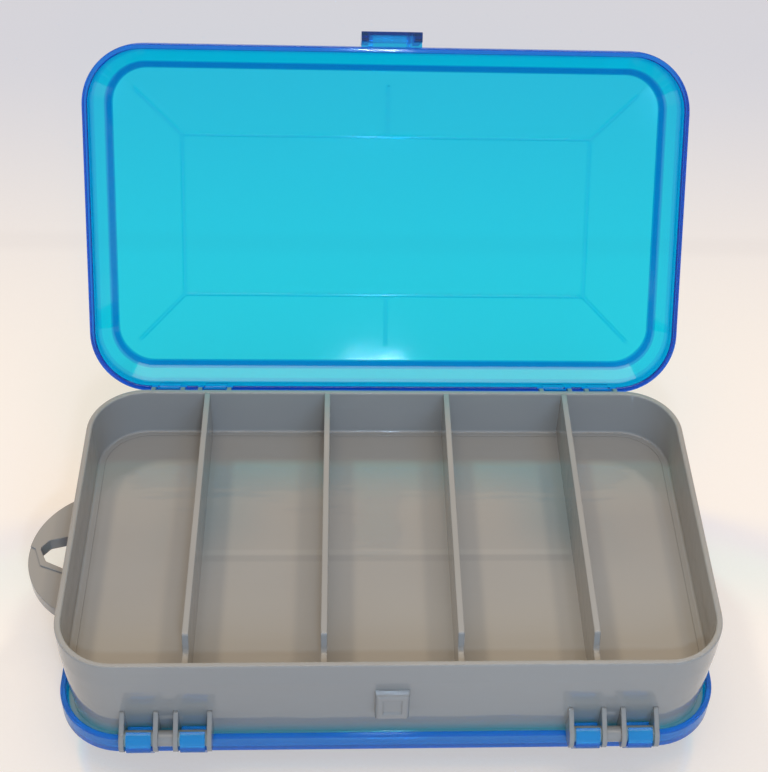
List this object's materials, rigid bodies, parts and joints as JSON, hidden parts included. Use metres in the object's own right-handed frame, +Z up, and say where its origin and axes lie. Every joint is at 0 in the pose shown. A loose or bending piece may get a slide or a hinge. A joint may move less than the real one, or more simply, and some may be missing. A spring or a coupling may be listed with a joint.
{
  "type": "two-sided tackle box",
  "caption": "Flat two-sided tackle box: a grey tray with open compartments on both faces, a clear blue hinged lid on each, snap latches and a carrying lug.",
  "frame": {"origin": "centre of the flat resting face on the bottom lid", "axes": "+Z up, +X along the box towards the end without the carrying lug, +Y towards the hinges of the top lid"},
  "size_m": [0.2243, 0.2027, 0.1675],
  "materials": {
    "tray_plastic": "glossy moulded grey polypropylene",
    "lid_plastic": "glossy translucent blue",
    "latch_plastic": "glossy translucent blue, a little deeper"
  },
  "bodies": {
    "tray": {"tray_wall": "tray_plastic", "tray_floor": "tray_plastic", "divider_1": "tray_plastic", "divider_2": "tray_plastic", "divider_3": "tray_plastic", "divider_4": "tray_plastic", "lower_divider_1": "tray_plastic", "lower_divider_2": "tray_plastic", "lower_divider_3": "tray_plastic", "lower_divider_4": "tray_plastic", "lower_cross_rib": "tray_plastic", "rear_left_ears": "tray_plastic", "rear_right_ears": "tray_plastic", "front_left_ears": "tray_plastic", "front_right_ears": "tray_plastic", "rear_left_pin": "tray_plastic", "rear_right_pin": "tray_plastic", "front_left_pin": "tray_plastic", "front_right_pin": "tray_plastic", "front_strike": "tray_plastic", "rear_strike": "tray_plastic", "carry_lug": "tray_plastic"},
    "top_lid": {"top_lid": "lid_plastic", "top_latch_bar": "lid_plastic"},
    "top_latch": {"top_latch": "latch_plastic"},
    "bottom_lid": {"bottom_lid": "lid_plastic", "bottom_latch_bar": "lid_plastic"},
    "bottom_latch": {"bottom_latch": "latch_plastic"}
  },
  "joints": [
    {"name": "top_lid_hinge", "type": "hinge", "parent": "tray", "child": "top_lid", "pos_m": [0, 0.06295, 0.0446], "axis": [-1, 0, 0], "range_deg": [-119.75, 0]},
    {"name": "bottom_lid_hinge", "type": "hinge", "parent": "tray", "child": "bottom_lid", "pos_m": [0, -0.06295, 0.0222], "axis": [-1, 0, 0], "range_deg": [0, 119.75]},
    {"name": "top_latch_pivot", "type": "hinge", "parent": "top_lid", "child": "top_latch", "pos_m": [0, 0.1316, 0.15061], "axis": [-1, 0, 0], "range_deg": [-4.5, 80]},
    {"name": "bottom_latch_pivot", "type": "hinge", "parent": "bottom_lid", "child": "bottom_latch", "pos_m": [0, 0.06315, 0.0152], "axis": [-1, 0, 0], "range_deg": [-4.5, 80]}
  ]
}
